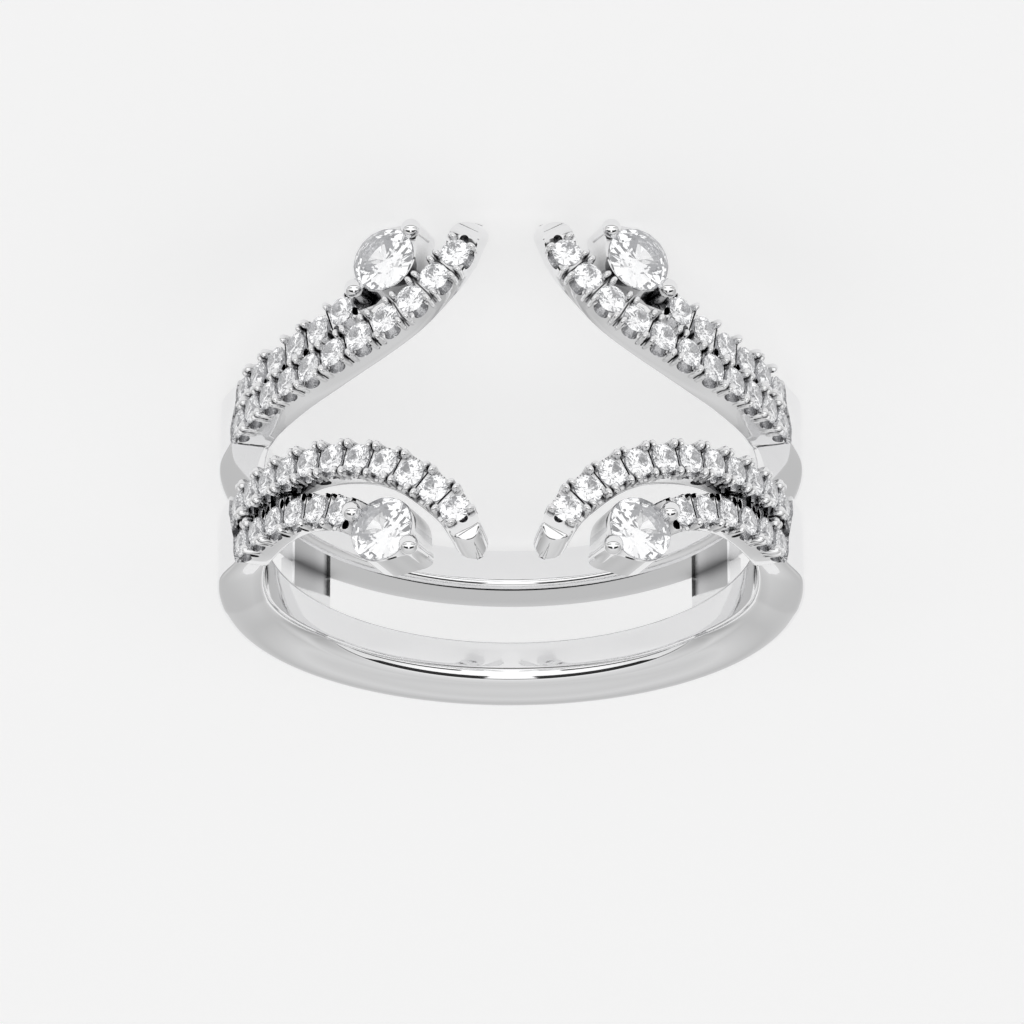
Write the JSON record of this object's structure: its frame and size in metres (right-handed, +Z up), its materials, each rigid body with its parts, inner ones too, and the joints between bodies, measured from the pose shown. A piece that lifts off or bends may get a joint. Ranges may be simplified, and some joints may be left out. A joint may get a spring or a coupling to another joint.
{
  "type": "ring guard enhancer",
  "caption": "Open double-band ring guard with forked pave shoulders that sweep round a centre gap and end in prong-set round stones.",
  "frame": {"origin": "on the surface that the ring lies on, under the middle of its bounding box", "axes": "+Z up from the surface, -Y towards the jewelled head, X across the ring; the finger hole's axis leans 11 degrees from Z because the ring lies on two settings and the bottom of one band"},
  "size_m": [0.021, 0.0218, 0.0132],
  "materials": {
    "white_metal": "mirror polished white gold",
    "round_stone": "clear round brilliant cut",
    "pave_stone": "clear small round cut"
  },
  "bodies": {
    "root": {"guard_body": "white_metal", "round_stone_front_left": "round_stone", "round_stone_front_right": "round_stone", "round_stone_back_left": "round_stone", "round_stone_back_right": "round_stone", "long_pave_front_left": "pave_stone", "long_pave_front_right": "pave_stone", "long_pave_back_left": "pave_stone", "long_pave_back_right": "pave_stone", "short_pave_front_left": "pave_stone", "short_pave_front_right": "pave_stone", "short_pave_back_left": "pave_stone", "short_pave_back_right": "pave_stone"}
  },
  "joints": []
}
